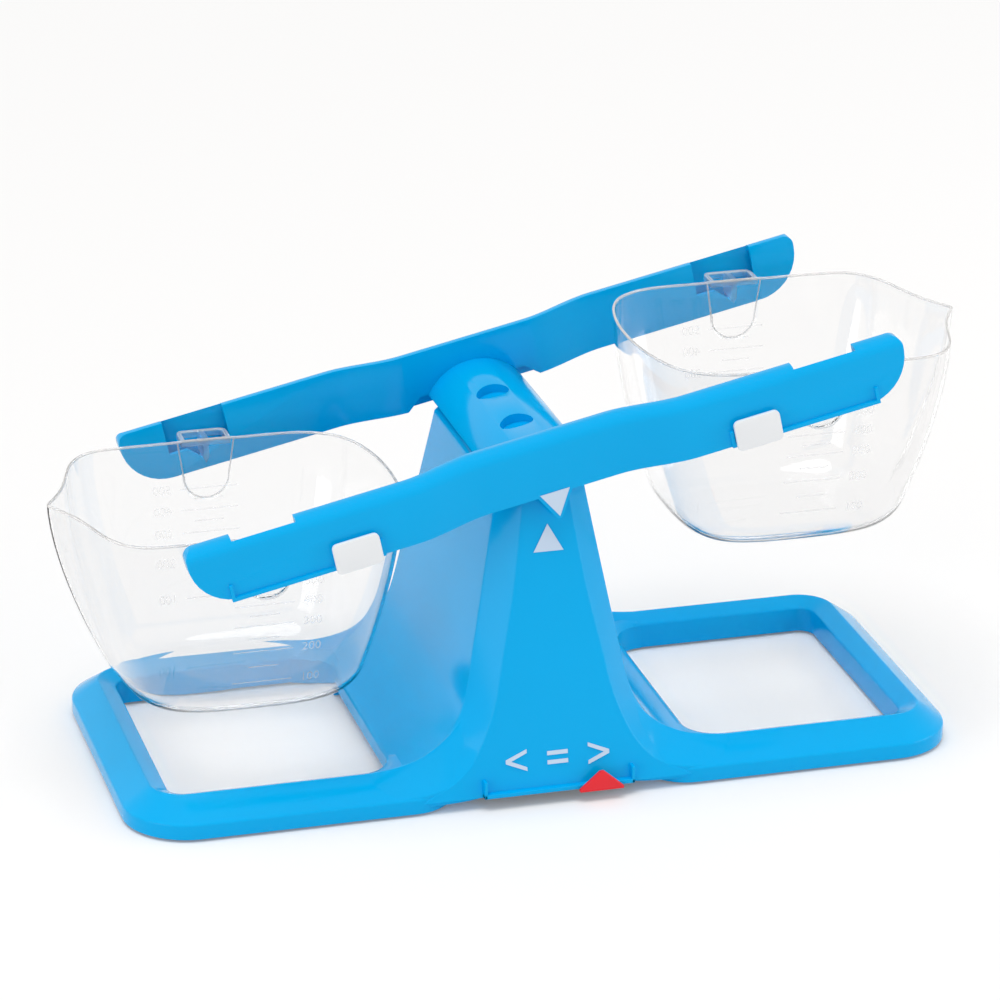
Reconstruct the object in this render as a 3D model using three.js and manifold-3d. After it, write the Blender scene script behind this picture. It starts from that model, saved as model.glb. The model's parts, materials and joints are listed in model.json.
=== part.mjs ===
// Bucket balance: a moulded base with a central tower, a tilting two-arm beam
// and two clear buckets hung from notches in the arms.
// Millimetres, +X along the beam, -Y the front with the pointer, +Z up.
// The floor is z = 0 and the tower stands on the origin.
import * as THREE from 'three';
import Module from 'manifold-3d';
import { mergeVertices } from 'three/addons/utils/BufferGeometryUtils.js';

const wasm = await Module();
wasm.setup();

// Clearances between pieces
const GAP = 0.3;
const PRINT_GAP = 0.05;
const PRINT_T = 0.3;

// Feet and base loops
const FOOT_H = 1.0;
const FOOT_R = 4.0;
const FOOT_X = 62;
const FOOT_EDGE = 7.7;
const FOOT_BOSS_H = 7;
const FOOT_BOSS_WALL = 1.5;
const LOOP_CX = 101.6;
const LOOP_HX = 63.6;
const LOOP_HY = 74.7;
const LOOP_R = 26;
const BAR_EDGE_H = 7.1;
const BAR_RIDGE_H = 14.6;
const BAR_INNER_H = 11.4;
const SLOPE_OUT = 12.5;
const SLOPE_END = 10.5;
const SLOPE_IN = 7.3;
const BASE_WALL = 2.2;
const JOINT_X = LOOP_CX - LOOP_HX;
const FEET = [[-1, -1], [1, -1], [-1, 1], [1, 1]].map(
  ([sx, sy]) => [sx * FOOT_X, sy * (LOOP_HY - FOOT_EDGE)]);

// Tower
const TOWER_TOP = 120;
const TOWER_LOW = 5;
const TOWER_Y0 = 76;
const TOWER_Y1 = 52.8;
const BEVEL_LOW = 12.5;
const BEVEL_TOP = 8;
const TOWER_WALL = 2.4;
const PANEL_HALF = [[5, 54], [7.1, 50], [10, 43.5], [14, 37.5], [19, 33], [27, 28.5], [40, 23.5],
  [62, 18.6], [82, 14.4], [102, 11.2], [120, 8.6]];
const SIDE_HALF = [[5, 60], [7.1, 59], [10, 57], [14, 52.5], [19, 45.5], [24, 40.5], [37, 33.4],
  [57, 29], [84, 23.8], [111, 18.8], [120, 17.2]];

// Marker rail along the foot of the tower
const RAIL_HALF = 30;
const RAIL_OUT = 2.2;
const RAIL_H = 1.8;
const RAIL_RIB_H = 7;
const RAIL_RIB_W = 1.3;
const MARKER_W = 17.6;
const MARKER_H = 8;
const MARKER_T = 2;
const MARKER_X = 16.2;
const SIGN_Z = 18;

// Beam: the rest pose leans to the left
const TILT = 12.26 * Math.PI / 180;
const PIVOT_Z = 128.2;
const ARM_LOW = -7.5;
const ARM_TOP = 16;
const ARM_T = 7;
const ARM_WALL = 2;
const ARM_END = 142.4;
const ARM_Y = 66.9;
const ARM_Y_MID = 60.3;
const ARM_R_TOP = 5;
const BOW_IN = 26;
const BOW_OUT = 56;
const END_R_TOP = 4;
const END_R_LOW = 18;
const NOTCH_IN = 99;
const NOTCH_OUT = 124;
const SEAT_U = 111.5;
const SEAT_V = -2.9;
const SEAT_DEPTH = 5;
const HUB_CUT = 24;
const POINTER_HALF = 7.4;
const POINTER_TIP = -17.8;
const DART_HALF = 5.9;
const DART_TOP = -6.5;
const DART_TIP = -16.8;

// Hub saddle and its pivot
const HUB_R = 22.8;
const HUB_CEN = -15.8;
const HUB_LOW = -2.5;
const HUB_WALL = 2.3;
const HUB_WELL_R = 6.5;
const HUB_WELL_Y = 17;
const HUB_WELL_FLOOR = 1;
const AXLE_R = 2;
const BEARING_Y = 38;
const BEARING_W = 11;
const BEARING_T = 5;

// Compensating sliders on the front arm
const SLIDER_L = 18.3;
const SLIDER_LOW = -8.9;
const SLIDER_TOP = 3.3;
const SLIDER_U = 79.8;
const TRACK_IN = 69.2;
const TRACK_OUT = 129.3;
const TRACK_RIB_W = 1.3;
const TRACK_RIB_TOP = -0.9;
const TRACK_OUT_T = 1.5;
const TRACK_H = 1.5;
const SLIDER_T = 1.7;

// Buckets, measured from the knife edge that hangs in the seat
const RIM_UP = 10.4;
const BUCKET_H = 80;
const BUCKET_WALL = 1.8;
const BUCKET_FLOOR = 2;
const BUCKET_R = 11;
const RIM_HALF = [[-62, 0], [-61.5, 12], [-59.8, 24], [-56.4, 36], [-51, 45], [-43, 50.6], [-34, 53],
  [-10, 53.4], [14, 53.4], [36, 53], [45, 52], [51.7, 48.2], [56.8, 41], [60, 32.5], [62.6, 23.5],
  [66, 14], [70, 6.2], [73.2, 0]];
const FOOT_IN = 43;
const FOOT_OUT = 45;
const FOOT_HALF = 38.5;
const WALL_POWER = 1.6;
const LUG_HALF = 10;
const LUG_OUT = 64.3;
const LUG_H = 2.8;
const LUG_T = 1.8;
const KNIFE_T = 2.4;
const TONGUE_HALF = 11.5;
const TONGUE_H = 25;

// Solid helpers
function solid(geometry) {
  const g = geometry.clone();
  g.deleteAttribute('normal');
  g.deleteAttribute('uv');
  const m = mergeVertices(g, 1e-5);
  return new wasm.Manifold(new wasm.Mesh({
    numProp: 3,
    vertProperties: new Float32Array(m.attributes.position.array),
    triVerts: new Uint32Array(m.index.array),
  }));
}

function mesh(name, body, material) {
  const m = body.getMesh();
  const g = new THREE.BufferGeometry();
  g.setAttribute('position', new THREE.BufferAttribute(new Float32Array(m.vertProperties), 3));
  g.setIndex(new THREE.BufferAttribute(new Uint32Array(m.triVerts), 1));
  const flat = g.toNonIndexed();
  flat.computeVertexNormals();
  const out = new THREE.Mesh(flat, material);
  out.name = name;
  return out;
}

function box(x0, x1, y0, y1, z0, z1) {
  const g = new THREE.BoxGeometry(x1 - x0, y1 - y0, z1 - z0);
  g.translate((x0 + x1) / 2, (y0 + y1) / 2, (z0 + z1) / 2);
  return solid(g);
}

function shapeOf(points) {
  return new THREE.Shape(points.map(([a, b]) => new THREE.Vector2(a, b)));
}

// Plan outline (x, y) raised from z0 to z1
function prismZ(points, z0, z1) {
  const g = new THREE.ExtrudeGeometry(shapeOf(points), { depth: z1 - z0, bevelEnabled: false });
  g.translate(0, 0, z0);
  return solid(g);
}

// Side outline (x, z) drawn through from y0 to y1
function prismY(points, y0, y1) {
  const g = new THREE.ExtrudeGeometry(shapeOf(points), { depth: y1 - y0, bevelEnabled: false });
  g.rotateX(Math.PI / 2);
  g.translate(0, y1, 0);
  return solid(g);
}

function cylinderY(radius, y0, y1, x, z, segments) {
  const g = new THREE.CylinderGeometry(radius, radius, y1 - y0, segments);
  g.translate(x, (y0 + y1) / 2, 0);
  g.translate(0, 0, z);
  return solid(g);
}

function cylinderZ(radius, z0, z1, x, y, segments) {
  const g = new THREE.CylinderGeometry(radius, radius, z1 - z0, segments);
  g.rotateX(Math.PI / 2);
  g.translate(x, y, (z0 + z1) / 2);
  return solid(g);
}

// Stacked outlines with equal point counts; ring true joins the last to the first
function loft(rings, ring) {
  const n = rings[0].length;
  const pos = rings.flat(2);
  const index = [];
  const spans = ring ? rings.length : rings.length - 1;
  for (let i = 0; i < spans; i++) {
    const a = i * n;
    const b = ((i + 1) % rings.length) * n;
    for (let j = 0; j < n; j++) {
      const k = (j + 1) % n;
      index.push(a + j, a + k, b + k, a + j, b + k, b + j);
    }
  }
  if (!ring) {
    const flat = (r) => r.map(([x, y]) => new THREE.Vector2(x, y));
    const top = (rings.length - 1) * n;
    for (const [p, q, s] of THREE.ShapeUtils.triangulateShape(flat(rings[0]), [])) index.push(p, s, q);
    for (const [p, q, s] of THREE.ShapeUtils.triangulateShape(flat(rings.at(-1)), [])) {
      index.push(top + p, top + q, top + s);
    }
  }
  const g = new THREE.BufferGeometry();
  g.setAttribute('position', new THREE.BufferAttribute(new Float32Array(pos), 3));
  g.setIndex(index);
  return solid(g);
}

function roundRect(cx, hx, hy, r, z, segments) {
  const out = [];
  const corners = [[1, 1, 0], [-1, 1, 90], [-1, -1, 180], [1, -1, 270]];
  for (const [sx, sy, start] of corners) {
    for (let i = 0; i <= segments; i++) {
      const a = (start + 90 * i / segments) * Math.PI / 180;
      out.push([cx + sx * (hx - r) + r * Math.cos(a), sy * (hy - r) + r * Math.sin(a), z]);
    }
  }
  return out;
}

function table(rows, z) {
  for (let i = 1; i < rows.length; i++) {
    const [z0, v0] = rows[i - 1];
    const [z1, v1] = rows[i];
    if (z <= z1) return v0 + (v1 - v0) * (z - z0) / (z1 - z0);
  }
  return rows.at(-1)[1];
}

// Base: two loops and the tower, one hollow moulding
const panelY = (z) => TOWER_Y0 + (TOWER_Y1 - TOWER_Y0) * z / TOWER_TOP;

// The outer slope is narrower on the end bars than along the front and back
function loopRing(cx, inset, z) {
  const ends = Math.min(inset, SLOPE_OUT) * SLOPE_END / SLOPE_OUT + Math.max(inset - SLOPE_OUT, 0);
  return roundRect(cx, LOOP_HX - ends, LOOP_HY - inset, Math.max(LOOP_R - inset, 5), z, 6);
}

function loopBar(cx, wall, floor) {
  const inner = SLOPE_OUT + SLOPE_IN;
  const drop = wall * 1.1;
  return loft([
    loopRing(cx, wall, floor),
    loopRing(cx, wall, BAR_EDGE_H - drop * 0.7),
    loopRing(cx, SLOPE_OUT, BAR_RIDGE_H - drop),
    loopRing(cx, inner - wall, BAR_INNER_H - drop),
    loopRing(cx, inner - wall, floor),
  ], true);
}

function towerSection(z, wall, at) {
  const a = table(PANEL_HALF, z) - wall * 0.6;
  const b = table(SIDE_HALF, z) - wall;
  const f = panelY(z) - wall;
  const s = f - (BEVEL_LOW + (BEVEL_TOP - BEVEL_LOW) * z / TOWER_TOP);
  return [[a, -f], [b, -s], [b, s], [a, f], [-a, f], [-b, s], [-b, -s], [-a, -f]].map(([x, y]) => [x, y, at]);
}

function towerBody(wall, low, top) {
  const levels = PANEL_HALF.concat(SIDE_HALF).map(([z]) => z).filter((z) => z > TOWER_LOW && z < top - 1);
  const heights = [...new Set(levels)].sort((p, q) => p - q);
  const rows = [towerSection(TOWER_LOW, wall, low)].concat(heights.map((z) => towerSection(z, wall, z)));
  rows.push(towerSection(top, wall, top));
  return loft(rows, false);
}

function makeBase() {
  const bottom = FOOT_H;
  const loops = loopBar(-LOOP_CX, 0, bottom).add(loopBar(LOOP_CX, 0, bottom));
  const holes = [-LOOP_CX, LOOP_CX].map((cx) => {
    const inset = SLOPE_OUT + SLOPE_IN;
    return prismZ(loopRing(cx, inset, 0).map(([x, y]) => [x, y]), -1, BAR_INNER_H - 0.4);
  });
  let body = towerBody(0, TOWER_LOW, TOWER_TOP).add(loops);
  for (const hole of holes) body = body.subtract(hole);
  const front = -panelY(TOWER_LOW);
  const edge = front - RAIL_OUT;
  body = body.add(box(-RAIL_HALF, RAIL_HALF, edge, front + 1.6, TOWER_LOW, TOWER_LOW + RAIL_H));
  for (const s of [-1, 1]) {
    const x = s * (RAIL_HALF - RAIL_RIB_W / 2);
    const ribTop = TOWER_LOW + RAIL_RIB_H;
    body = body.add(box(x - RAIL_RIB_W / 2, x + RAIL_RIB_W / 2, edge, front + 2, TOWER_LOW, ribTop));
  }
  const inside = towerBody(TOWER_WALL, TOWER_LOW - 2, TOWER_TOP - TOWER_WALL);
  const underLoops = loopBar(-LOOP_CX, BASE_WALL, bottom - 2).add(loopBar(LOOP_CX, BASE_WALL, bottom - 2));
  let hollow = inside.add(underLoops);
  for (const cx of [-LOOP_CX, LOOP_CX]) {
    const inset = SLOPE_OUT + SLOPE_IN - BASE_WALL;
    hollow = hollow.subtract(prismZ(loopRing(cx, inset, 0).map(([x, y]) => [x, y]), -2, BAR_INNER_H + 1.5));
  }
  body = body.subtract(hollow);
  for (const [x, y] of FEET) {
    body = body.add(cylinderZ(FOOT_R + FOOT_BOSS_WALL, bottom, FOOT_BOSS_H, x, y, 16));
  }
  return body;
}

// The moulding's loops and tower are kept apart at flat upright joints, so that each has a simple form
function sliceBase(body, x0, x1) {
  return body.intersect(box(x0, x1, -LOOP_HY * 2, LOOP_HY * 2, 0, TOWER_TOP * 2));
}

// Bearing block: a post with a round-bottomed seat for the axle
function makeBearing(y) {
  const z0 = TOWER_TOP + PRINT_GAP;
  const post = box(-BEARING_W / 2, BEARING_W / 2, y - BEARING_T / 2, y + BEARING_T / 2, z0, PIVOT_Z + 1);
  const r = AXLE_R + 0.1;
  const slot = cylinderY(r, y - BEARING_T, y + BEARING_T, 0, PIVOT_Z, 24);
  return post.subtract(slot).subtract(box(-r, r, y - BEARING_T, y + BEARING_T, PIVOT_Z, PIVOT_Z + 3));
}

// Print: thin plates lying on the leaning front panel, in panel coordinates
function makePrint(points) {
  return prismY(points, -PRINT_GAP - PRINT_T, -PRINT_GAP);
}

function chevron(x, z, dir) {
  const w = 8.4;
  const h = 4.3;
  const t = 1.5;
  return [[x + dir * w, z + h], [x, z + t / 2], [x, z - t / 2], [x + dir * w, z - h],
    [x + dir * w, z - h + t], [x + dir * t * 1.4, z], [x + dir * w, z + h - t]];
}

const bar = (z) => [[-4.1, z - 0.8], [4.1, z - 0.8], [4.1, z + 0.8], [-4.1, z + 0.8]];

function counterClock(points) {
  const flat = points.map(([a, b]) => new THREE.Vector2(a, b));
  return THREE.ShapeUtils.isClockWise(flat) ? points.reverse() : points;
}

// Red marker: a triangle that clips over the rail
function makeMarker() {
  const y0 = -panelY(TOWER_LOW) - RAIL_OUT;
  const half = MARKER_W / 2;
  const low = TOWER_LOW - 0.7;
  const top = low + MARKER_H;
  const outline = [[-half, low], [half, low], [half, low + 1], [0.8, top], [-0.8, top], [-half, low + 1]];
  const face = prismY(outline, y0 - MARKER_T, y0 - GAP / 2);
  const over = TOWER_LOW + RAIL_H + GAP / 2;
  return face.add(box(-3, 3, y0 - 1, y0 + RAIL_OUT - 0.7, over, over + 1.2));
}

// Beam
function armStations() {
  const steps = 12;
  const bow = [];
  for (let i = 0; i <= steps; i++) bow.push(BOW_IN + (BOW_OUT - BOW_IN) * i / steps);
  const half = bow.concat([ARM_END + 1]);
  return half.map((u) => -u).reverse().concat(half);
}

// Bar along the bowed path of the front arm, drawn in by a wall, with its upper outer edge rounded
function armBar(wall, low) {
  const r = ARM_R_TOP - wall;
  const top = ARM_TOP - wall;
  const steps = 6;
  const rings = armStations().map((u) => {
    const out = -armY(u) + wall;
    const ring = [[out, low, u], [-armY(u) + ARM_T - wall, low, u], [-armY(u) + ARM_T - wall, top, u]];
    for (let i = 0; i <= steps; i++) {
      const a = Math.PI / 2 * (1 + i / steps);
      ring.push([out + r + r * Math.cos(a), top - r + r * Math.sin(a), u]);
    }
    return ring;
  });
  return loft(rings, false).rotate([90, 0, 90]);
}

function armY(u) {
  const t = Math.min(Math.max((Math.abs(u) - BOW_IN) / (BOW_OUT - BOW_IN), 0), 1);
  return ARM_Y_MID + (ARM_Y - ARM_Y_MID) * t * t * (3 - 2 * t);
}

function armSide(inset) {
  const pts = [];
  const e = ARM_END - inset;
  const corner = (cx, cz, r, from) => {
    for (let i = 0; i <= 9; i++) {
      const a = (from + 10 * i) * Math.PI / 180;
      pts.push([cx + r * Math.cos(a), cz + r * Math.sin(a)]);
    }
  };
  const low = END_R_LOW - inset;
  const top = Math.max(END_R_TOP - inset, 1);
  corner(e - low, ARM_LOW + low, low, 270);
  corner(e - top, ARM_TOP - inset - top, top, 0);
  corner(-e + top, ARM_TOP - inset - top, top, 90);
  corner(-e + low, ARM_LOW + low, low, 180);
  return pts;
}

// The front arm; the back arm is the same turned about, without pointer and tracks
function makeArm(front) {
  const deep = ARM_Y + ARM_T;
  const shell = armBar(0, ARM_LOW - 1).intersect(prismY(armSide(0), -deep, 0));
  const room = armSide(ARM_WALL).map(([u, v]) => [u, v < ARM_LOW + 3 ? v - 4 : v]);
  const cavity = armBar(ARM_WALL, ARM_LOW - 6).intersect(prismY(room, -deep, 0));
  let arm = shell.subtract(cavity);
  const inner = -(ARM_Y - ARM_T);
  for (const s of [-1, 1]) {
    const u0 = s < 0 ? -NOTCH_OUT : NOTCH_IN;
    const u1 = s < 0 ? -NOTCH_IN : NOTCH_OUT;
    arm = arm.subtract(box(u0, u1, -ARM_Y + ARM_WALL, inner + 2, SEAT_V + SEAT_DEPTH, ARM_TOP + 2));
    const c = s * SEAT_U;
    const rise = SEAT_DEPTH + 1;
    const vee = [[c, SEAT_V], [c + rise, SEAT_V + rise], [c - rise, SEAT_V + rise]];
    arm = arm.subtract(prismY(vee, inner - ARM_WALL - 0.5, inner + 2));
  }
  const clear = [[-HUB_CUT - 5, ARM_LOW - 1], [HUB_CUT + 5, ARM_LOW - 1],
    [HUB_CUT - 2, HUB_LOW], [-HUB_CUT + 2, HUB_LOW]];
  arm = arm.subtract(prismY(clear, -ARM_Y_MID + ARM_WALL + 0.01, 0));
  if (front) {
    const tip = 0.9;
    const p = [[-POINTER_HALF, ARM_LOW + 1], [-tip, POINTER_TIP],
      [tip, POINTER_TIP], [POINTER_HALF, ARM_LOW + 1]];
    arm = arm.add(prismY(p, -ARM_Y_MID, -ARM_Y_MID + ARM_WALL));
    for (const s of [-1, 1]) {
      const a = s < 0 ? -TRACK_OUT : TRACK_IN;
      const b = s < 0 ? -TRACK_IN : TRACK_OUT;
      arm = arm.add(box(a, b, -ARM_Y - TRACK_OUT_T, -ARM_Y + 1, ARM_LOW, ARM_LOW + TRACK_H));
      for (const u of [a, b]) {
        const u0 = u === a ? a : b - TRACK_RIB_W;
        arm = arm.add(box(u0, u0 + TRACK_RIB_W, -ARM_Y - TRACK_OUT_T, -ARM_Y + 1, ARM_LOW, TRACK_RIB_TOP));
      }
    }
  }
  return arm;
}

function hubSection(r) {
  const pts = [];
  const reach = Math.acos((HUB_LOW - HUB_CEN) / r);
  const steps = 36;
  for (let i = 0; i <= steps; i++) {
    const a = Math.PI / 2 - reach + 2 * reach * i / steps;
    pts.push([r * Math.cos(a), HUB_CEN + r * Math.sin(a)]);
  }
  return pts;
}

// Saddle with two round wells in its top, above the axle
function makeHub() {
  const half = ARM_Y_MID - ARM_T - PRINT_GAP;
  const drum = prismY(hubSection(HUB_R), -half, half);
  const room = hubSection(HUB_R - HUB_WALL);
  room.push([room.at(-1)[0], HUB_LOW - 4], [room[0][0], HUB_LOW - 4]);
  let hub = drum.subtract(prismY(room, -half + HUB_WALL, half - HUB_WALL));
  const low = AXLE_R + GAP;
  for (const s of [-1, 1]) {
    const y = s * HUB_WELL_Y;
    const cup = cylinderZ(HUB_WELL_R + HUB_WALL, low, HUB_R, 0, y, 40).intersect(drum);
    hub = hub.add(cup).subtract(cylinderZ(HUB_WELL_R, low + HUB_WELL_FLOOR, HUB_R, 0, y, 40));
  }
  return hub.subtract(cylinderY(AXLE_R + 0.05, -half - 1, half + 1, 0, 0, 24));
}

function makeAxle() {
  const half = ARM_Y_MID - ARM_T - PRINT_GAP - 0.1;
  return cylinderY(AXLE_R, -half, half, 0, 0, 24);
}

// White slider: a face plate that hooks under and behind the lower edge of the arm
function makeSlider(u) {
  const a = u - SLIDER_L / 2;
  const b = u + SLIDER_L / 2;
  const y0 = -ARM_Y - TRACK_OUT_T;
  const r = 2;
  const face = [];
  for (const [su, sv, from] of [[1, 1, 0], [-1, 1, 90], [-1, -1, 180], [1, -1, 270]]) {
    for (let i = 0; i <= 4; i++) {
      const t = (from + 22.5 * i) * Math.PI / 180;
      const cu = su > 0 ? b - r : a + r;
      const cv = sv > 0 ? SLIDER_TOP - r : SLIDER_LOW + r;
      face.push([cu + r * Math.cos(t), cv + r * Math.sin(t)]);
    }
  }
  const plate = prismY(face, y0 - GAP - SLIDER_T, y0 - GAP);
  const shelf = box(a + 2, b - 2, y0 - GAP - 0.5, -ARM_Y + ARM_WALL + 1.4, SLIDER_LOW, ARM_LOW - GAP / 2);
  const hook = box(a + 2, b - 2, -ARM_Y + ARM_WALL + GAP, -ARM_Y + ARM_WALL + 1.4, SLIDER_LOW, ARM_LOW + 4);
  const pad = box(a + 3, b - 3, y0 - GAP - 0.5, -ARM_Y - GAP / 2, ARM_LOW + TRACK_H + 1, SLIDER_TOP - 1.5);
  return plate.add(shelf).add(hook).add(pad);
}

// Bucket, drawn with its pour spout to +X and its knife edge on the Y axis
function bucketFoot(x, y) {
  const a = Math.atan2(y, x);
  const end = x < 0 ? FOOT_IN : FOOT_OUT;
  const e = 3.2;
  const k = Math.abs(Math.cos(a) / end) ** e + Math.abs(Math.sin(a) / FOOT_HALF) ** e;
  const r = k ** (-1 / e);
  return [r * Math.cos(a), r * Math.sin(a)];
}

function bucketRing(depth, inset, z) {
  const f = (depth / BUCKET_H) ** WALL_POWER;
  const half = RIM_HALF.map(([x, y]) => {
    const [fx, fy] = bucketFoot(x, y);
    return [x + (fx - x) * f, y + (fy - y) * f];
  });
  const mirror = half.slice(1, -1).map(([x, y]) => [x, -y]);
  const outline = mirror.concat([half.at(-1)], half.slice(0, -1).reverse());
  return outline.map(([x, y], i) => {
    const [px, py] = outline.at(i - 1);
    const [nx, ny] = outline[(i + 1) % outline.length];
    const len = Math.hypot(nx - px, ny - py);
    return [x - inset * (ny - py) / len, y + inset * (nx - px) / len, z];
  });
}

function bucketLevels(wall, floor) {
  const rings = [];
  const r = BUCKET_R - wall;
  for (let i = 0; i <= 4; i++) {
    const a = (i / 4) * Math.PI / 2;
    const depth = BUCKET_H - BUCKET_R + r * Math.cos(a) - (wall > 0 ? floor - wall : 0);
    rings.push(bucketRing(depth, wall + r * (1 - Math.sin(a)), RIM_UP - depth));
  }
  for (const d of [56, 43, 30, 17]) rings.push(bucketRing(d, wall, RIM_UP - d));
  const top = wall > 0 ? -2 : 0;
  rings.push(bucketRing(Math.max(top, 0), wall, RIM_UP - top));
  return rings;
}

function tongue(half, depth, y0, y1) {
  const pts = [[half, RIM_UP], [-half, RIM_UP]];
  const r = half * 0.8;
  for (let i = 0; i <= 8; i++) {
    const a = Math.PI + Math.PI * i / 8;
    pts.push([r * Math.cos(a), RIM_UP - depth + r + r * Math.sin(a)]);
  }
  return prismY(pts, y0, y1);
}

function makeBucket() {
  let body = loft(bucketLevels(0, 0), false);
  const inside = loft(bucketLevels(BUCKET_WALL, BUCKET_FLOOR), false);
  const side = RIM_HALF[7][1];
  const out = side + 0.4;
  for (const s of [-1, 1]) {
    const y0 = Math.min(s * 38, s * out);
    body = body.add(tongue(TONGUE_HALF, TONGUE_H, y0, y0 + out - 38));
  }
  body = body.subtract(inside);
  for (const s of [-1, 1]) {
    const y0 = Math.min(s * 30, s * (out - BUCKET_WALL));
    const cut = tongue(TONGUE_HALF - BUCKET_WALL, TONGUE_H - BUCKET_WALL, y0, y0 + out - BUCKET_WALL - 30);
    body = body.subtract(cut).subtract(cut.translate([0, 0, 1]));
    body = body.add(makeLug(s, out));
  }
  return body;
}

function makeLug(s, out) {
  const root = out - 0.8;
  const plan = (half, end, back) => [[-half, back], [half, back], [half, end - 3],
    [half - 3, end], [-half + 3, end], [-half, end - 3]];
  const flip = (pts) => (s > 0 ? pts : pts.map(([x, y]) => [x, -y]).reverse());
  const band = prismZ(flip(plan(LUG_HALF, LUG_OUT, root)), RIM_UP - LUG_H, RIM_UP);
  const eyePlan = plan(LUG_HALF - LUG_T, LUG_OUT - LUG_T, root + 0.8);
  const eye = prismZ(flip(eyePlan), RIM_UP - LUG_H - 1, RIM_UP + 1);
  const h = KNIFE_T / 2;
  const blade = [[h, RIM_UP], [-h, RIM_UP], [-h, 2.6], [-0.1, 0.15], [0.1, 0.15], [h, 2.6]];
  const y0 = s > 0 ? root : -LUG_OUT + 0.5;
  return band.subtract(eye).add(prismY(blade, y0, y0 + LUG_OUT - 0.5 - root));
}

// Materials
const plastic = (color, roughness) => new THREE.MeshStandardMaterial({ color, roughness, metalness: 0 });
const blue = plastic(0x0098e4, 0.28);
const white = plastic(0xf1f2f4, 0.35);
const red = plastic(0xe2303c, 0.35);
const grey = plastic(0x8d949c, 0.5);
const rubber = plastic(0x2b6fae, 0.8);
const print = plastic(0xe9f3fb, 0.5);
const steel = new THREE.MeshStandardMaterial({ color: 0xb9bec4, roughness: 0.3, metalness: 1 });
const clear = plastic(0xdfe8ee, 0.08);
clear.transparent = true;
clear.opacity = 0.35;

// Assembly
const object = new THREE.Group();
object.name = 'bucket_balance';
const base = makeBase();
const reach = LOOP_CX + LOOP_HX + 1;
object.add(mesh('tower', sliceBase(base, -JOINT_X + PRINT_GAP, JOINT_X - PRINT_GAP), blue));
object.add(mesh('loop_left', sliceBase(base, -reach, -JOINT_X), blue));
object.add(mesh('loop_right', sliceBase(base, JOINT_X, reach), blue));
object.add(mesh('bearing_front', makeBearing(-BEARING_Y), grey));
object.add(mesh('bearing_back', makeBearing(BEARING_Y), grey));
['foot_front_left', 'foot_front_right', 'foot_back_left', 'foot_back_right'].forEach((name, i) => {
  const [x, y] = FEET[i];
  object.add(mesh(name, cylinderZ(FOOT_R, 0, FOOT_H - 0.02, x, y, 20), rubber));
});

const panel = new THREE.Group();
panel.name = 'panel_prints';
panel.position.set(0, -TOWER_Y0, 0);
panel.rotation.x = -Math.atan2(TOWER_Y0 - TOWER_Y1, TOWER_TOP);
panel.add(mesh('print_less', makePrint(counterClock(chevron(-20.6, SIGN_Z, 1))), print));
panel.add(mesh('print_equal_upper', makePrint(bar(SIGN_Z + 1.8)), print));
panel.add(mesh('print_equal_lower', makePrint(bar(SIGN_Z - 1.8)), print));
panel.add(mesh('print_greater', makePrint(counterClock(chevron(20.6, SIGN_Z, -1))), print));
panel.add(mesh('print_triangle', makePrint([[-5.9, 98.4], [5.9, 98.4], [0, 109]]), print));
object.add(panel);

const marker = mesh('marker', makeMarker(), red);
marker.position.x = MARKER_X;
object.add(marker);

const beam = new THREE.Group();
beam.name = 'beam';
beam.position.z = PIVOT_Z;
beam.rotation.y = -TILT;
beam.add(mesh('arm_front', makeArm(true), blue));
const back = mesh('arm_back', makeArm(false), blue);
back.rotation.z = Math.PI;
beam.add(back);
beam.add(mesh('hub', makeHub(), blue));
beam.add(mesh('axle', makeAxle(), steel));
beam.add(mesh('slider_left', makeSlider(-SLIDER_U), white));
beam.add(mesh('slider_right', makeSlider(SLIDER_U), white));
const dartFace = -ARM_Y_MID - PRINT_GAP;
const dartPoints = [[-DART_HALF, DART_TOP], [0, DART_TIP], [DART_HALF, DART_TOP]];
const dart = prismY(dartPoints, dartFace - PRINT_T, dartFace);
beam.add(mesh('print_pointer', dart, print));
object.add(beam);

for (const s of [-1, 1]) {
  const u = s * SEAT_U;
  const bucket = mesh(s < 0 ? 'bucket_left' : 'bucket_right', makeBucket(), clear);
  bucket.position.set(
    u * Math.cos(TILT) - SEAT_V * Math.sin(TILT),
    0,
    PIVOT_Z + u * Math.sin(TILT) + SEAT_V * Math.cos(TILT),
  );
  if (s < 0) bucket.rotation.z = Math.PI;
  object.add(bucket);
}

// The origin sits on the floor under the middle of the overall box
object.updateMatrixWorld(true);
const middle = new THREE.Box3().setFromObject(object, true).getCenter(new THREE.Vector3());
for (const child of object.children) {
  child.position.x -= middle.x;
  child.position.y -= middle.y;
}

export default object;
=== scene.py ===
import json
import math

import bmesh
import bpy
from bpy.props import FloatProperty, FloatVectorProperty, PointerProperty
from mathutils import Matrix, Vector


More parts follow.
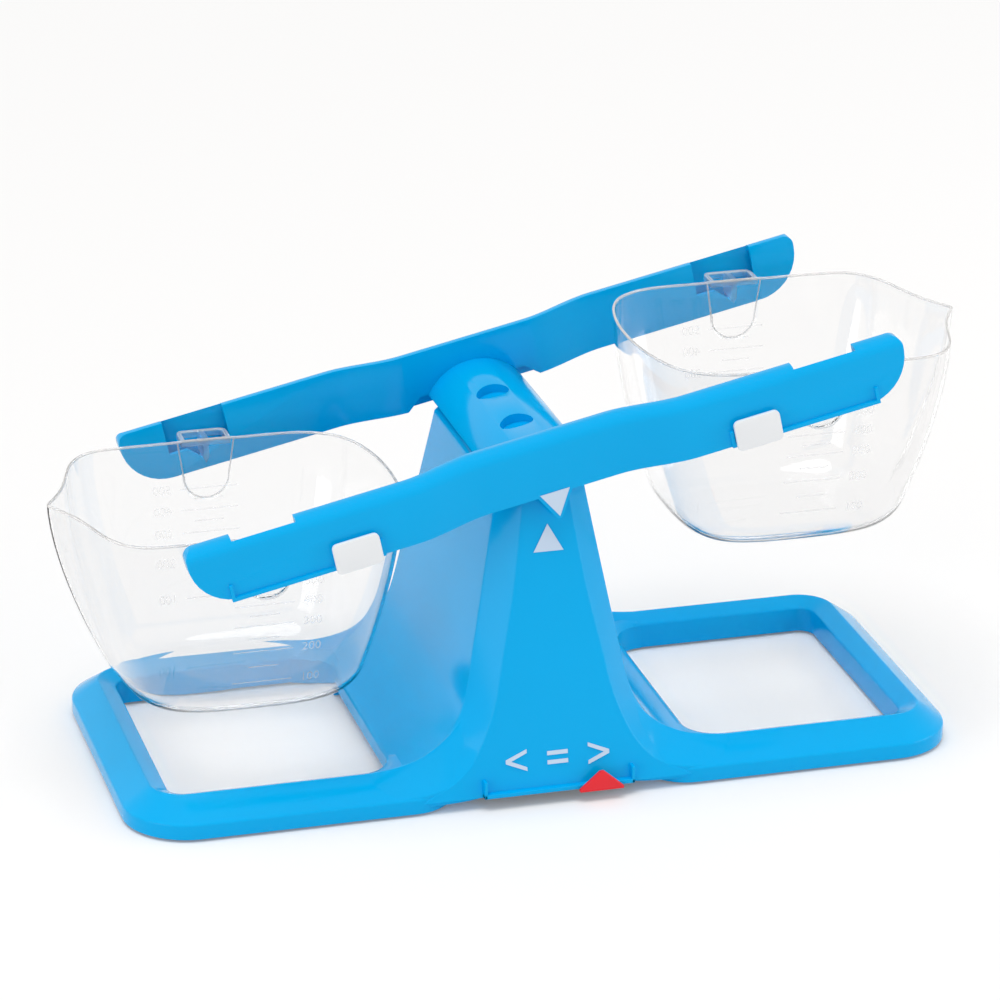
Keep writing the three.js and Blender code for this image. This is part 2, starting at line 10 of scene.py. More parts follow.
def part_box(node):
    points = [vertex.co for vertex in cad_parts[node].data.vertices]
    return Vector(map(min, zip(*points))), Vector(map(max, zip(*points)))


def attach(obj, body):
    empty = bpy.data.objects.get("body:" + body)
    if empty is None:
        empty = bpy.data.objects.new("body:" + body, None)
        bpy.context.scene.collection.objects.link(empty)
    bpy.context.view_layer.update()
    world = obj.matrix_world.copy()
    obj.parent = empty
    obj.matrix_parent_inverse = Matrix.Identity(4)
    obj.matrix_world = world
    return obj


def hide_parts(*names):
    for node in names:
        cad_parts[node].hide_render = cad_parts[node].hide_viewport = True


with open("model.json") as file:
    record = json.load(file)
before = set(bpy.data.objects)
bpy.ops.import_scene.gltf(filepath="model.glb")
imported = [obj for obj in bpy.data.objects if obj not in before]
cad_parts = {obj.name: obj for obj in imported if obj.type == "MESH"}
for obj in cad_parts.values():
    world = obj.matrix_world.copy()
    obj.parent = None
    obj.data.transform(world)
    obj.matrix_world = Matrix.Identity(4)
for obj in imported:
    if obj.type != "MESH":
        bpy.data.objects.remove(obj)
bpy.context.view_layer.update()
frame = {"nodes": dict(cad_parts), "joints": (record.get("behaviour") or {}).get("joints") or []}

bl_info = {
    "name": "Bucket balance",
    "version": (1, 0, 0),
    "blender": (4, 5, 0),
    "location": "3D View > Sidebar > Balance",
    "description": "Builds the finished surfaces of a two-bucket balance around its frame",
    "category": "Object",
}

MM = 0.001
MICRON = 0.001 * MM
JOINTS = {joint["name"]: joint for joint in frame["joints"]}
PIVOT = Vector(JOINTS["beam_tilt"]["pos_m"])
MIDDLE = Vector((PIVOT.x, PIVOT.y, 0))
LOOP_LOW, LOOP_HIGH = (Vector(corner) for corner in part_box("loop_right"))
LOOP_CENTRE = (LOOP_LOW + LOOP_HIGH) / 2
TOWER_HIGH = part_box("tower")[1]
FOOT_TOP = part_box("foot_front_left")[1].z
SEATS = {
    "bucket_left": (Vector(JOINTS["bucket_left_hang"]["pos_m"]), -1),
    "bucket_right": (Vector(JOINTS["bucket_right_hang"]["pos_m"]), 1),
}
RIM_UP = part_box("bucket_left")[1].z - SEATS["bucket_left"][0].z
BUCKET_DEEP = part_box("bucket_left")[1].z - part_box("bucket_left")[0].z

# Half widths of the tower in millimetres, as (height, half width)
PANEL_HALF = (
    (5, 54), (7.1, 50), (10, 43.5), (14, 37.5), (19, 33), (27, 28.5), (40, 23.5),
    (62, 18.6), (82, 14.4), (102, 11.2), (120, 8.6),
)
SIDE_HALF = (
    (5, 60), (10, 60), (11.4, 59.6), (12.5, 57.8), (14, 54.8), (16.5, 50.2), (19, 46.3),
    (24, 40.8), (37, 33.4), (57, 29), (84, 23.8), (111, 18.8), (120, 17.2),
)

# Half of the bucket's rim in millimetres, from its round end to the spout's tip
RIM_HALF = (
    (-62, 0), (-61.5, 12), (-59.8, 24), (-56.4, 36), (-51, 45), (-43, 50.6), (-34, 53),
    (-14, 53.4), (14, 53.4), (36, 53), (45, 52), (51.7, 48.2), (56.8, 41), (60, 32.5),
    (62.6, 23.5), (66, 14), (70, 6.2), (73.2, 0),
)

# The span of that path beside a lug, and the steps on it and on each other span
LUG_SPAN = 7
LUG_STEPS = 44
SPAN_STEPS = 8

# Bucket scale: what each long line says, and how far below the rim it lies in millimetres
SCALE_LINES = ((100, 63), (200, 49), (300, 37.5), (400, 28.5), (500, 20))

# Size of a font whose digits are one unit high
DIGIT_SIZE = 1.4

# Steps of depth at which the wall under the scale is worked out
SCALE_GRID = 0.25 * MM

# Rows of the lofted forms, and steps in the arcs of their sections
COVE_ROWS = 12
ROOT_ROWS = 20
TOWER_ROWS = 72
BEND_ROWS = 8
WALL_ROWS = 20
TONGUE_ROWS = 36
TONGUE_SIDE = 8
TONGUE_ARC = 12
LOOP_ARC = 12
TOWER_ARC = 8
TOP_ARC = 4
COVE_ARC = 8
LIP_ARC = 8
LUG_ARC = 6
EDGE_ARC = 4
FINE_ARC = 3
BEAD_SIDES = 8

# Powers that crowd the tower's rows to its foot, turn a bucket's wall in late and square its foot
TOWER_CROWD = 1.7
WALL_TURN = 1.6
FOOT_SQUARE = 3.2

# Share of an inset by which each side of the tower's panel moves in
PANEL_INSET = 0.6

# How early a bar's outer edge and its ridge climb, as shares of the way in
EDGE_FADE = 0.205
RIDGE_FADE = 0.3

# Shares of a bar's climb between which its ridge moves back to the tower's edge
ROOT_TURN = (0.25, 0.75)

# Reach of a tongue's zone in tongue half widths, and its start in foot half widths out
TONGUE_ZONE = 1.3
FLANK_ZONE = 0.8

# Depth at which the close rows of a tongue start, in tongue depths
TONGUE_BELOW = 1.06

# Radii on the edges of the marker's rail and of the pieces that are copied from the frame
RAIL_EDGE = 0.36 * MM
FOOT_EDGE = 0.25 * MM
BEARING_EDGE = 0.3 * MM
MARKER_EDGE = 0.35 * MM
SLIDER_EDGE = 0.45 * MM
BEAM_EDGE = 0.5 * MM

# How far a bar's climb lies above the bar's skin and behind the tower's panel
ROOT_PROUD = 0.03 * MM
ROOT_SUNK = 0.05 * MM

# Step round a tongue, and radii of a lug's corners beside it, at its end and inside its frame
TONGUE_STEP = 1 * MM
LUG_ROOT = 0.4 * MM
LUG_CORNER = 3 * MM
LUG_LEAST = 1 * MM

# Shoulder and tip of a lug's knife above the seat, and radius of its corners
KNIFE_SHOULDER = 2.6 * MM
KNIFE_TIP = 0.15 * MM
KNIFE_EDGE = 0.25 * MM

# Thickness of the scale's marks, and how far their middle stands out from the wall
MARK_THICK = 0.1 * MM
MARK_PROUD = 0.06 * MM

# Angles in degrees: edges that are rounded, edges that are shaded sharp, and faces that count as flat
SHARP_EDGE = 30
CREASE = 40
BEAM_CREASE = 35
BUCKET_CREASE = 50
FLAT = 0.5

# Finishes: colour, values of the moulded surface in this order, and values of the shader
SURFACE_VALUES = ("Cloud", "Gloss", "Spread", "Skin")
CLEAR = {"IOR": 1.15, "Transmission Weight": 1.0, "Coat Weight": 0.8, "Coat IOR": 1.45}
FROSTED = {"IOR": 1.1, "Transmission Weight": 0.8, "Alpha": 0.35}
# The pale edge finish is a painted highlight: a whitish, half-clear skin for beads that stand in for the
# bright glint along the clear plastic's edges
PAINTED_HIGHLIGHT = {"IOR": 1.2, "Transmission Weight": 0.4, "Alpha": 0.6}
FINISHES = {
    "blue_moulding": ("blue", 0.06, 0.1, 0.06, 0.05, {"IOR": 1.46, "Specular IOR Level": 0.16}),
    "white_moulding": ("white", 0.03, 0.36, 0.1, 0.15, {"IOR": 1.48}),
    "red_moulding": ("red", 0.06, 0.28, 0.1, 0.1, {"IOR": 1.48, "Specular IOR Level": 0.3}),
    "grey_moulding": ("grey", 0.05, 0.5, 0.1, 0.2, {"IOR": 1.46}),
    "rubber_pad": ("rubber", 0.08, 0.72, 0.12, 0.4, {"IOR": 1.5}),
    "bright_steel": ("steel", 0.04, 0.24, 0.1, 0.1, {"Metallic": 1.0}),
    "printed_ink": ("ink", 0.03, 0.42, 0.1, 0.2, {"IOR": 1.45}),
    "clear_moulding": ("clear", 0.01, 0.0, 0.02, 0.02, CLEAR),
    "frosted_mark": ("mark", 0.02, 0.6, 0.1, 0.1, FROSTED),
    # Painted highlight on the buckets' edges, not a colour the clear plastic has
    "painted_highlight_edge": ("edge", 0.03, 0.2, 0.1, 0.1, PAINTED_HIGHLIGHT),
}

# How strongly a metre of the clear plastic takes up light
CLEAR_DENSITY = 10.0

# Stage in metres, and lamps in watts, or watts a square metre for the overhead sun
FLOOR_HALF = 4
AIM = (0, 0, 0.08)
OVERHEAD = {"power": 1.6, "place": (-0.12, -0.1, 1.2), "angle": math.radians(40)}
LEFT_SOFTBOX = {"power": 5.0, "place": (-1.4, -0.75, 0.45), "size": 0.9}
RIGHT_SOFTBOX = {"power": 6.0, "place": (1.4, -0.5, 0.4), "size": 0.9}


def length(name, text, default):
    """A size that can be set in the sidebar."""
    return FloatProperty(name=name, description=text, default=default, unit="LENGTH", precision=5)


def factor(name, text, default):
    """A strength that can be set in the sidebar."""
    return FloatProperty(name=name, description=text, default=default, subtype="FACTOR", min=0, max=1)


def colour(name, text, default):
    """A colour that can be set in the sidebar."""
    return FloatVectorProperty(
        name=name, description=text, default=default, subtype="COLOR", size=3, min=0, max=1)


class BalanceBaseSizes(bpy.types.PropertyGroup):
    """Sizes of the base loops and of their climb into the tower."""
    centre: length("Loop centre", "Loop's middle, out from the tower", LOOP_CENTRE.x - MIDDLE.x)
    half_x: length("Half length", "Half of a loop along the beam", LOOP_HIGH.x - LOOP_CENTRE.x)
    half_y: length("Half width", "Half of a loop across the beam", LOOP_HIGH.y - LOOP_CENTRE.y)
    corner: length("Outer corner", "Radius of the loop's outer corners", 26 * MM)
    root: length("Root corner", "Radius of the corners beside the tower", 18 * MM)
    hole: length("Hole corner", "Radius of the opening's corners", 6.2 * MM)
    edge_height: length("Edge height", "Top of the upright outer wall", 7.1 * MM)
    ridge_height: length("Ridge height", "Height of the ridge", 14.6 * MM)
    inner_height: length("Inner height", "Top of the opening's wall", 11.4 * MM)
    outer_slope: length("Outer slope", "Width of the outer slope along the front and back", 12.5 * MM)
    end_slope: length("End slope", "Width of the outer slope on the end bars", 10.5 * MM)
    inner_slope: length("Inner slope", "Width of the inner slope", 7.3 * MM)
    wall: length("Wall", "Thickness of the moulding", 2.2 * MM)
    soft: length("Edge radius", "Radius on the moulding's edges", 1.3 * MM)
    root_start: length("Root start", "Where a bar starts to climb, out from the middle", 72 * MM)
    root_end: length("Root end", "Where the climb ends inside the tower", 31 * MM)
    edge_rise: length("Edge rise", "Climb of a bar's outer edge", 13.2 * MM)
    ridge_rise: length("Ridge rise", "Climb of a bar's ridge", 26.2 * MM)
    cove: length("Cove", "Radius of the hollow corner between a bar and the tower", 14 * MM)


class BalanceTowerSizes(bpy.types.PropertyGroup):
    """Sizes of the tower and of the marker's rail."""
    low: length("Foot height", "Height of the tower's lower edge", 5 * MM)
    panel_foot: length("Panel foot", "Panel's place at floor height", 76 * MM)
    panel_top: length("Panel top", "Panel's place at the top", 52.8 * MM)
    bevel_foot: length("Bevel foot", "Depth of the slanted strip at the foot", 12.5 * MM)
    bevel_top: length("Bevel top", "Depth of the slanted strip at the top", 8 * MM)
    wall: length("Wall", "Thickness of the tower's wall", 2.4 * MM)
    soft: length("Edge radius", "Radius on the tower's upright edges", 1.6 * MM)
    sweep: length("Sweep", "Extra radius on the side edges where they run into the loops", 3 * MM)
    sweep_height: length("Sweep height", "Height over which that radius fades", 45 * MM)
    rail_half: length("Rail half", "Half length of the rail", 30 * MM)
    rail_out: length("Rail out", "How far the rail stands out", 2.2 * MM)
    rail_height: length("Rail height", "Thickness of the rail", 1.8 * MM)
    stop_height: length("Stop height", "Height of the rail's end stops", 7 * MM)
    stop_width: length("Stop width", "Width of the rail's end stops", 1.3 * MM)


class BalanceBucketSizes(bpy.types.PropertyGroup):
    """Sizes of the clear buckets."""
    wall: length("Wall", "Thickness of the bucket's wall", 1.1 * MM)
    floor: length("Floor", "Thickness of the bucket's floor", 2 * MM)
    bend: length("Bottom bend", "Radius between wall and floor", 11 * MM)
    foot_in: length("Foot in", "Foot's reach to the round end", 43 * MM)
    foot_out: length("Foot out", "Foot's reach to the spout", 45 * MM)
    foot_half: length("Foot half", "Half width of the foot", 38.5 * MM)
    tongue_half: length("Tongue half", "Half width of the tongue under a lug", 11.5 * MM)
    tongue_deep: length("Tongue depth", "Depth of the tongue", 25 * MM)
    tongue_out: length("Tongue out", "Tongue's face, out from the middle", 53.8 * MM)
    tongue_end: length("Tongue end", "Radius of the tongue's round end", 9.2 * MM)
    lug_half: length("Lug half", "Half width of a lug", 10 * MM)
    lug_out: length("Lug out", "Lug's end, out from the middle", 64.3 * MM)
    lug_height: length("Lug height", "Height of a lug's frame", 2.8 * MM)
    lug_bar: length("Lug bar", "Width of a lug's bars", 1.8 * MM)
    # Radius of the whitish beads that paint a highlight along the tongues' and lugs' edges
    edge: length("Edge", "Radius of the pale edges of tongues and lugs", 0.35 * MM)
    knife: length("Knife", "Thickness of the knife edge's web", 2.4 * MM)
    line_in: length("Line start", "Start of a long scale line", -12 * MM)
    line_out: length("Line end", "End of a long scale line", 11 * MM)
    line_width: length("Line width", "Width of a scale line", 0.45 * MM)
    digit: length("Digit height", "Height of the scale's numbers", 3.6 * MM)
    digit_gap: length("Digit gap", "Gap between a line and its number", 3.6 * MM)


class BalanceFinish(bpy.types.PropertyGroup):
    """Colours of the balance."""
    blue: colour("Blue", "Moulded base and beam", (0.0, 0.41, 0.82))
    white: colour("White", "Sliders", (0.84, 0.85, 0.86))
    red: colour("Red", "Marker", (0.82, 0.022, 0.032))
    grey: colour("Grey", "Bearing posts", (0.27, 0.30, 0.33))
    rubber: colour("Feet", "Rubber feet", (0.02, 0.16, 0.42))
    steel: colour("Steel", "Axle", (0.56, 0.58, 0.60))
    ink: colour("Print", "Signs on the tower and pointer", (0.57, 0.69, 0.84))
    mark: colour("Scale", "Lugs, scale lines and numbers of the buckets", (0.93, 0.94, 0.95))
    # Colour of the beads that paint a highlight on the buckets' rims and edges, in place of the glint of
    # the clear plastic
    edge: colour("Edge", "Rims and edges of the buckets", (0.93, 0.915, 0.90))
    clear: colour("Clear", "Tint of the buckets' surface", (0.965, 0.963, 0.962))
    depth: colour("Depth", "Tint that the buckets take through their thickness", (0.60, 0.61, 0.62))
    floor: colour("Floor", "Plain floor, as it throws light back", (0.9, 0.9, 0.9))
    shadow: colour("Shadow", "Share of the plain floor that a shadow can darken", (0.8, 0.79, 0.78))


class BalanceStage(bpy.types.PropertyGroup):
    """Light of the room and the camera."""
    room: colour("Room", "Tint of the light from all sides", (0.98, 0.99, 1.0))
    room_power: factor("Room power", "Strength of the light from all sides", 0.5)
    floor_glow: factor("Floor glow", "Light that the floor adds to its own picture", 0.14)
    place: FloatVectorProperty(
        name="Camera place", description="Where the camera stands", size=3, subtype="XYZ", unit="LENGTH",
        default=(-452.1 * MM, -1572.2 * MM, 744.8 * MM))
    yaw: FloatProperty(name="Yaw", description="Turn to the right", default=0.2776, subtype="ANGLE")
    pitch: FloatProperty(name="Pitch", description="Look down", default=0.3775, subtype="ANGLE")
    roll: FloatProperty(name="Roll", description="Lean", default=0.0069, subtype="ANGLE")
    lens: FloatProperty(name="Lens", description="Focal length", default=162.35, unit="CAMERA")


# Outlines

def filleted(corners, steps):
    """Closed outline of (x, y, radius) corners, each rounded by an arc."""
    points = []
    for i, (x, y, radius) in enumerate(corners):
        here = Vector((x, y))
        back = (Vector(corners[i - 1][:2]) - here).normalized()
        ahead = (Vector(corners[(i + 1) % len(corners)][:2]) - here).normalized()
        half = back.angle(ahead) / 2
        centre = here + (back + ahead).normalized() * radius / math.sin(half)
        start = here + back * radius / math.tan(half) - centre
        end = here + ahead * radius / math.tan(half) - centre
        points += [centre + start.slerp(end, k / steps) * radius for k in range(steps + 1)]
    return points


def hermite(t, start, leaving, end, arriving):
    """Place on a smooth span from start to end, with the directions at its ends."""
    return (start * (2 * t**3 - 3 * t**2 + 1) + leaving * (t**3 - 2 * t**2 + t)
            + end * (3 * t**2 - 2 * t**3) + arriving * (t**3 - t**2))


def curve_value(points, at):
    """Value at a place on a smooth curve through (place, value) points, without overshoot."""
    slopes = [(b[1] - a[1]) / (b[0] - a[0]) for a, b in zip(points, points[1:])]
    inner = [2 * m * n / (m + n) if m * n > 0 else 0.0 for m, n in zip(slopes, slopes[1:])]
    leans = [slopes[0]] + inner + [slopes[-1]]
    i = 0
    while i < len(slopes) - 1 and at > points[i + 1][0]:
        i += 1
    (x0, y0), (x1, y1) = points[i], points[i + 1]
    span = x1 - x0
    return hermite((at - x0) / span, y0, leans[i] * span, y1, leans[i + 1] * span)


def smooth_loop(points, counts):
    """Closed smooth path through the points, with its own number of steps on each span."""
    total = len(points)
    gaps = [(points[(i + 1) % total] - points[i]).length for i in range(total)]
    leans = [(points[(i + 1) % total] - points[i - 1]) / (gaps[i - 1] + gaps[i]) for i in range(total)]
    path = []
    for i, count in enumerate(counts):
        j = (i + 1) % total
        leaving = leans[i] * gaps[i]
        arriving = leans[j] * gaps[i]
        path += [hermite(k / count, points[i], leaving, points[j], arriving) for k in range(count)]
    return path


def ease(t):
    """Smooth step from 0 to 1."""
    t = min(max(t, 0.0), 1.0)
    return t * t * (3 - 2 * t)


# Meshes

def start_outline(bm, points):
    """Closed row of vertices and edges."""
    verts = [bm.verts.new(p) for p in points]
    edges = [bm.edges.new(pair) for pair in zip(verts, verts[1:] + verts[:1])]
    return verts, edges


def next_outline(bm, verts, edges, points):
    """Extrudes a row of edges and moves the new row to its own outline."""
    made = bmesh.ops.extrude_edge_only(bm, edges=edges)["geom"]
    fresh = {v for v in made if isinstance(v, bmesh.types.BMVert)}
    row = []
    for vert, point in zip(verts, points):
        follower = next(e.other_vert(vert) for e in vert.link_edges if e.other_vert(vert) in fresh)
        follower.co = point
        row.append(follower)
    ahead = [e for e in made if isinstance(e, bmesh.types.BMEdge) and fresh.issuperset(e.verts)]
    return row, ahead


def loft(bm, outlines, wrap):
    """Skin through outlines with equal counts; wrap joins last to first, else both ends are capped."""
    verts, edges = start_outline(bm, outlines[0])
    first = edges
    followers = outlines[1:] + (outlines[:1] if wrap else [])
    for points in followers:
        verts, edges = next_outline(bm, verts, edges, points)
    if wrap:
        bmesh.ops.remove_doubles(bm, verts=bm.verts, dist=0.1 * MICRON)
    else:
        bmesh.ops.edgeloop_fill(bm, edges=first)
        bmesh.ops.edgeloop_fill(bm, edges=edges)


def round_edges(bm, edges, radius):
    """Rounds edges with a bevel."""
    bmesh.ops.bevel(bm, geom=edges, offset=radius, offset_type="OFFSET", affect="EDGES",
                    segments=FINE_ARC, profile=0.5, material=-1, clamp_overlap=True)


def soft_box(bm, low, high, radius):
    """Box between two corners with rounded edges."""
    place = Matrix.Translation((low + high) / 2) @ Matrix.Diagonal((*(high - low), 1))
    made = bmesh.ops.create_cube(bm, size=1, matrix=place)["verts"]
    round_edges(bm, list(dict.fromkeys(e for v in made for e in v.link_edges)), radius)


def sort_faces(bm):
    """Puts the faces in order of place, since extruding leaves them in a new order each run."""
    for i, face in enumerate(sorted(bm.faces, key=lambda f: f.calc_center_median().to_tuple())):
        face.index = i
    bm.faces.sort()


def finish_piece(bm, name, finish, body, nodes, crease):
    """Turns a bmesh into a smooth piece that rides on a body and stands for frame nodes."""
    bmesh.ops.recalc_face_normals(bm, faces=bm.faces)
    sort_faces(bm)
    mesh = bpy.data.meshes.new(name)
    bm.to_mesh(mesh)
    bm.free()
    mesh.shade_smooth()
    mesh.set_sharp_from_angle(angle=math.radians(crease))
    piece = bpy.data.objects.new(name, mesh)
    bpy.context.scene.collection.objects.link(piece)
    mesh.materials.append(moulded(finish))
    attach(piece, body)
    if nodes:
        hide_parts(*nodes)


def softened(node, radius):
    """A copy of a frame node as clean faces, with its sharp edges rounded."""
    bm = bmesh.new()
    bm.from_mesh(frame["nodes"][node].data)
    bmesh.ops.remove_doubles(bm, verts=bm.verts, dist=2 * MICRON)
    bmesh.ops.dissolve_limit(bm, angle_limit=math.radians(FLAT), verts=bm.verts, edges=bm.edges)
    limit = math.radians(SHARP_EDGE)
    round_edges(bm, [e for e in bm.edges if e.is_manifold and e.calc_face_angle() > limit], radius)
    return bm


# Finishes

def add_node(tree, kind, **values):
    """New node with its plain settings and input values."""
    made = tree.nodes.new(kind)
    for key, value in values.items():
        if key in made.inputs:
            made.inputs[key].default_value = value
        else:
            setattr(made, key, value)
    return made


def moulded_surface():
    """Node group for moulded plastic: faint cloudiness, uneven gloss and a fine skin."""
    made = bpy.data.node_groups.get("moulded_surface")
    if made:
        return made
    made = bpy.data.node_groups.new("moulded_surface", "ShaderNodeTree")
    face = made.interface
    face.new_socket("Colour", in_out="INPUT", socket_type="NodeSocketColor")
    for name in SURFACE_VALUES:
        face.new_socket(name, in_out="INPUT", socket_type="NodeSocketFloat")
    face.new_socket("Colour", in_out="OUTPUT", socket_type="NodeSocketColor")
    face.new_socket("Roughness", in_out="OUTPUT", socket_type="NodeSocketFloat")
    face.new_socket("Normal", in_out="OUTPUT", socket_type="NodeSocketVector")
    source = made.nodes.new("NodeGroupInput")
    result = made.nodes.new("NodeGroupOutput")
    place = made.nodes.new("ShaderNodeTexCoord")
    cloud = add_node(made, "ShaderNodeTexNoise", Scale=14.0, Detail=3.0)
    flow = add_node(made, "ShaderNodeTexNoise", Scale=60.0, Detail=2.0)
    skin = add_node(made, "ShaderNodeTexNoise", Scale=1600.0, Detail=2.0)
    shade = add_node(made, "ShaderNodeMath", operation="MULTIPLY_ADD")
    tone = add_node(made, "ShaderNodeHueSaturation")
    spread = add_node(made, "ShaderNodeMath", operation="MULTIPLY_ADD")
    bump = add_node(made, "ShaderNodeBump", Distance=0.05 * MM)
    centre = add_node(made, "ShaderNodeMath", operation="SUBTRACT")
    centre.inputs[1].default_value = 0.5
    shade.inputs[2].default_value = 1.0
    link = made.links.new
    for noise in (cloud, flow, skin):
        link(place.outputs["Object"], noise.inputs["Vector"])
    link(cloud.outputs["Fac"], centre.inputs[0])
    link(centre.outputs[0], shade.inputs[0])
    link(source.outputs["Cloud"], shade.inputs[1])
    link(shade.outputs[0], tone.inputs["Value"])
    link(source.outputs["Colour"], tone.inputs["Color"])
    link(flow.outputs["Fac"], spread.inputs[0])
    link(source.outputs["Spread"], spread.inputs[1])
    link(source.outputs["Gloss"], spread.inputs[2])
    link(skin.outputs["Fac"], bump.inputs["Height"])
    link(source.outputs["Skin"], bump.inputs["Strength"])
    link(tone.outputs["Color"], result.inputs["Colour"])
    link(spread.outputs[0], result.inputs["Roughness"])
    link(bump.outputs["Normal"], result.inputs["Normal"])
    return made


def moulded(name):
    """Material for one of the finishes."""
    made = bpy.data.materials.get(name)
    if made:
        return made
    tint, *surface_values, shader_values = FINISHES[name]
    made = bpy.data.materials.new(name)
    made.use_nodes = True
    tree = made.node_tree
    shader = tree.nodes["Principled BSDF"]
    for socket, value in shader_values.items():
        shader.inputs[socket].default_value = value
    surface = tree.nodes.new("ShaderNodeGroup")
    surface.node_tree = moulded_surface()
    surface.inputs["Colour"].default_value = (*getattr(bpy.context.scene.balance_finish, tint), 1)
    for socket, value in zip(SURFACE_VALUES, surface_values):
        surface.inputs[socket].default_value = value
    tree.links.new(surface.outputs["Colour"], shader.inputs["Base Color"])
    tree.links.new(surface.outputs["Roughness"], shader.inputs["Roughness"])
    tree.links.new(surface.outputs["Normal"], shader.inputs["Normal"])
    return made


def add_depth(material, tint):
    """Makes a clear material take up light through its thickness."""
    tree = material.node_tree
    depth = add_node(tree, "ShaderNodeVolumeAbsorption", Color=(*tint, 1), Density=CLEAR_DENSITY)
    tree.links.new(depth.outputs["Volume"], tree.nodes["Material Output"].inputs["Volume"])


# Base

def loop_outline(sizes, side, inset, height):
    """Rounded rectangle of one loop, drawn in by inset, at a height."""
    beyond = max(inset - sizes.outer_slope, 0)
    half_x = sizes.half_x - beyond - (inset - beyond) * sizes.end_slope / sizes.outer_slope
    half_y = sizes.half_y - inset
    outer = max(sizes.corner - inset, sizes.hole)
    root = max(sizes.root - inset, sizes.hole)
    corners = [
        (half_x, -half_y, outer), (half_x, half_y, outer),
        (-half_x, half_y, root), (-half_x, -half_y, root),
    ]
    return [
        MIDDLE + Vector((side * (sizes.centre + p.x), p.y, height))
        for p in filleted(corners, LOOP_ARC)
    ]


def loop_section(sizes):
    """Section of a loop's bar, as (inset, height) points round its skin."""
    inner = sizes.outer_slope + sizes.inner_slope
    thin = sizes.wall / 4
    corners = [
        (0, FOOT_TOP, thin),
        (0, sizes.edge_height, sizes.soft),
        (sizes.outer_slope, sizes.ridge_height, sizes.soft),
        (inner, sizes.inner_height, sizes.soft),
        (inner, FOOT_TOP, thin),
        (inner - sizes.wall, FOOT_TOP, thin),
        (inner - sizes.wall, sizes.inner_height - sizes.wall, thin),
        (sizes.outer_slope, sizes.ridge_height - sizes.wall, thin),
        (sizes.wall, sizes.edge_height - sizes.wall / 2, thin),
        (sizes.wall, FOOT_TOP, thin),
    ]
    return filleted(corners, EDGE_ARC)


def add_cove(bm, sizes, side, end):
    """Hollow rounding in the corner between a loop's bar and the tower's side."""
    opening = sizes.half_y - sizes.outer_slope - sizes.inner_slope
    top = (sizes.inner_height + sizes.ridge_height) / 2
    radius = sizes.cove
    wall = sizes.wall
    rows = []
    for k in range(COVE_ROWS + 1):
        height = FOOT_TOP + (top - FOOT_TOP) * k / COVE_ROWS
        rise = max(height - sizes.inner_height, 0) / (sizes.ridge_height - sizes.inner_height)
        x = curve_value(SIDE_HALF, height / MM) * MM
        y = opening + sizes.inner_slope * rise
        row = [(x - wall, y - radius), (x - wall, y + wall), (x + radius, y + wall)]
        for j in range(COVE_ARC + 1):
            angle = j / COVE_ARC * math.pi / 2
            row.append((x + radius * (1 - math.sin(angle)), y - radius * (1 - math.cos(angle))))
        rows.append([MIDDLE + Vector((side * px, end * py, height)) for px, py in row])
    loft(bm, rows, wrap=False)


def panel_place(sizes, height):
    """How far the front panel stands out from the middle at a height."""
    return sizes.panel_foot + (sizes.panel_top - sizes.panel_foot) * height / TOWER_HIGH.z


def slanted_strip(sizes, height, inset):
    """Ends of the slanted strip between the tower's panel and its side, at a height."""
    panel = curve_value(PANEL_HALF, height / MM) * MM - inset * PANEL_INSET
    side = curve_value(SIDE_HALF, height / MM) * MM - inset
    front = panel_place(sizes, height) - inset
    share = height / TOWER_HIGH.z
    flank = front - sizes.bevel_foot - (sizes.bevel_top - sizes.bevel_foot) * share
    return Vector((panel, front)), Vector((side, flank))


def climb(rise, fade, share):
    """Rise at a share of the way in from the bar: nothing at first, then faster and faster."""
    return rise * (math.exp(share / fade) - 1) / (math.exp(1 / fade) - 1)


def add_root(bm, loop, tower, side, end):
    """Climb of a bar's slopes into the tower's slanted strip."""
    crest = loop.half_y - loop.outer_slope
    inner = crest - loop.inner_slope
    low = FOOT_TOP + loop.wall
    thin = loop.wall / 4
    turn_start, turn_end = ROOT_TURN
    rows = []
    for k in range(ROOT_ROWS + 1):
        share = k / ROOT_ROWS
        x = loop.root_start + (loop.root_end - loop.root_start) * share
        edge = loop.edge_height + climb(loop.edge_rise, EDGE_FADE, share) + ROOT_PROUD
        ridge = loop.ridge_height + climb(loop.ridge_rise, RIDGE_FADE, share) + ROOT_PROUD
        front = min(loop.half_y, panel_place(tower, edge) - ROOT_SUNK)
        top = slanted_strip(tower, ridge, 0)[1].y
        top += (crest - top) * (1 - ease((share - turn_start) / (turn_end - turn_start)))
        corners = [
            (front, low, thin),
            (front, edge, loop.soft),
            (top, ridge, loop.soft),
            (inner, loop.inner_height, thin),
            (inner + loop.wall, low, thin),
        ]
        section = filleted(corners, EDGE_ARC)
        rows.append([MIDDLE + Vector((side * x, end * p.x, p.y)) for p in section])
    loft(bm, rows, wrap=False)


def tower_outline(sizes, height, inset, at):
    """Eight-sided section of the tower with soft corners."""
    (panel, front), (side, flank) = slanted_strip(sizes, height, inset)
    quarter = [(panel, -front), (side, -flank), (side, flank), (panel, front)]
    corners = quarter + [(-x, y) for x, y in reversed(quarter)]
    sweep = sizes.soft + sizes.sweep * ease(1 - height / sizes.sweep_height)
    radii = (sizes.soft, sweep, sweep, sizes.soft) * 2
    points = filleted([(x, y, radius) for (x, y), radius in zip(corners, radii)], TOWER_ARC)
    return [MIDDLE + Vector((p.x, p.y, at)) for p in points]


def tower_heights(low, top):
    """Heights of the tower's sections, closest together at the flared foot."""
    return [low + (top - low) * (k / TOWER_ROWS) ** TOWER_CROWD for k in range(TOWER_ROWS + 1)]


